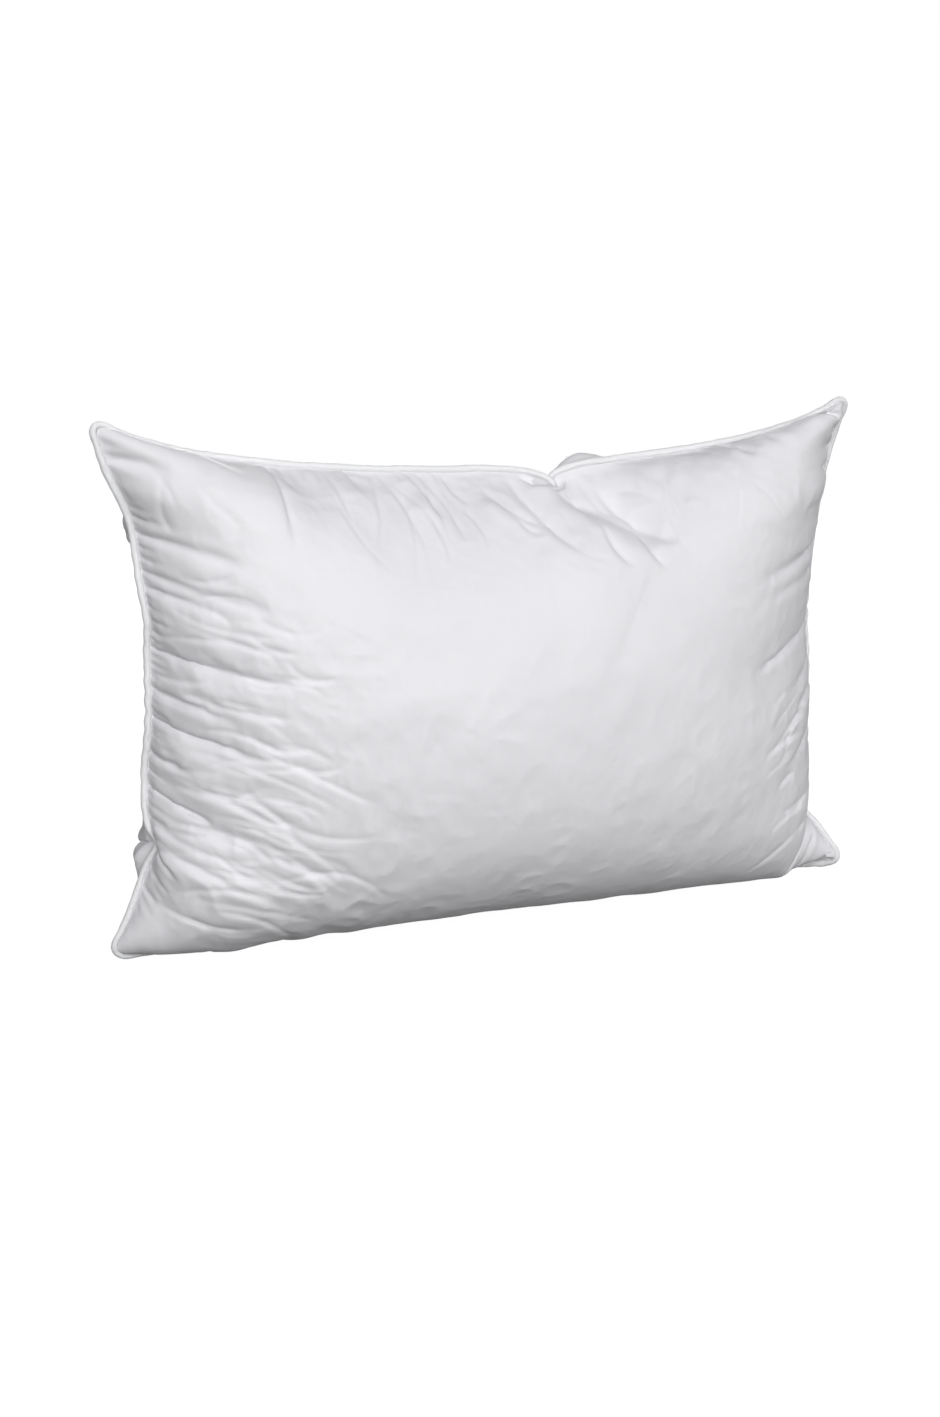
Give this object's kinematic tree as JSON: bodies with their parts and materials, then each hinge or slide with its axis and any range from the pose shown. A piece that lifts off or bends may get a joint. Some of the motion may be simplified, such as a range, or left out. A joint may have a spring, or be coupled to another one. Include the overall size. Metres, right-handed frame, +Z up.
{
  "type": "bed pillow",
  "caption": "Plump white down bed pillow with a corded, piped edge, standing on its long edge, with pointed ears and a sagging top edge.",
  "frame": {"origin": "on the surface the pillow stands on, below the middle of its box", "axes": "+Z up, +X along the pillow's long side, front panel towards -Y, back panel towards +Y"},
  "size_m": [0.6918, 0.262, 0.4531],
  "materials": {
    "ticking": "fine crisp cotton percale, matte with a slight sheen",
    "piping": "bias-cut cotton over a cord, matte",
    "down": "loose white down and small feathers",
    "cord": "soft twisted cotton filler cord",
    "thread": "spun polyester sewing thread, slight sheen",
    "label": "blank satin ribbon"
  },
  "bodies": {
    "root": {"front_panel": "ticking", "back_panel": "ticking", "down_filling": "down", "piping_cover": "piping", "piping_cord": "cord", "needle_thread": "thread", "bobbin_thread": "thread", "closing_thread": "thread", "care_label": "label"}
  },
  "joints": []
}
